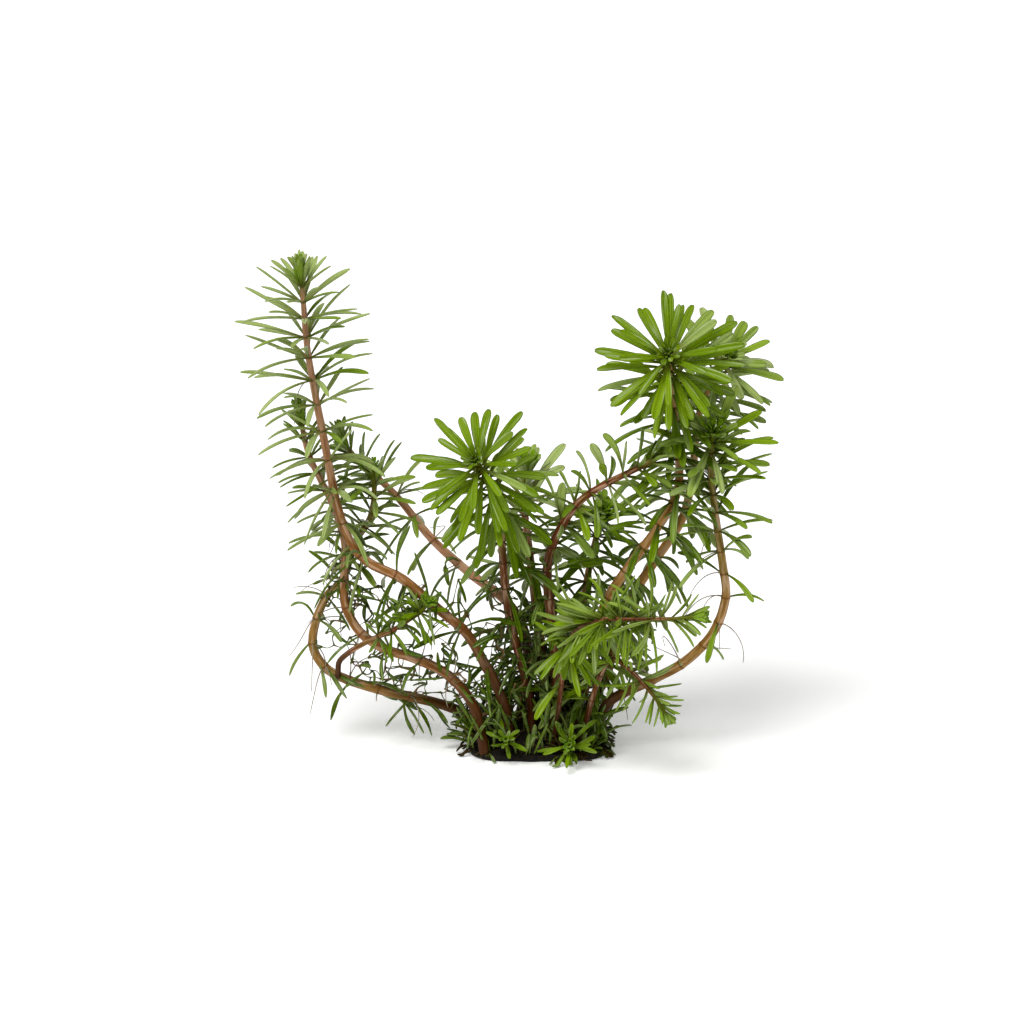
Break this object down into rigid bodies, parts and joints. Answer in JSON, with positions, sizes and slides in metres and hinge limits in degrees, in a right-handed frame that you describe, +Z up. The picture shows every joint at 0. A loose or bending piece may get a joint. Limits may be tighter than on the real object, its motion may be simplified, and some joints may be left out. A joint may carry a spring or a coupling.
{
  "type": "rotala aquarium plant",
  "caption": "Bunch of leafy rotala shoots with whorls of narrow green leaves, standing on the flat cut of its dark root crown.",
  "frame": {"origin": "middle of the flat cut under the root crown, where the plant stands", "axes": "+Z up, +X to the right as seen from the front, -Y towards the viewer"},
  "size_m": [0.1338, 0.081, 0.1305],
  "materials": {
    "leaf": "satin",
    "stem": "satin",
    "crown": "matte"
  },
  "bodies": {
    "root": {"root_crown": "crown", "shoot_tall_left": "leaf", "shoot_low_left": "leaf", "shoot_outer_left": "leaf", "side_shoot_red": "leaf", "shoot_back_left": "leaf", "shoot_star_left": "leaf", "shoot_behind_star": "leaf", "shoot_leaning_right": "leaf", "shoot_star_right": "leaf", "shoot_top_right": "leaf", "shoot_outer_right": "leaf", "shoot_low_right": "leaf", "shoot_foot_right": "leaf", "sprout_front": "leaf", "sprout_left": "leaf", "sprout_shaded": "leaf"}
  },
  "joints": []
}
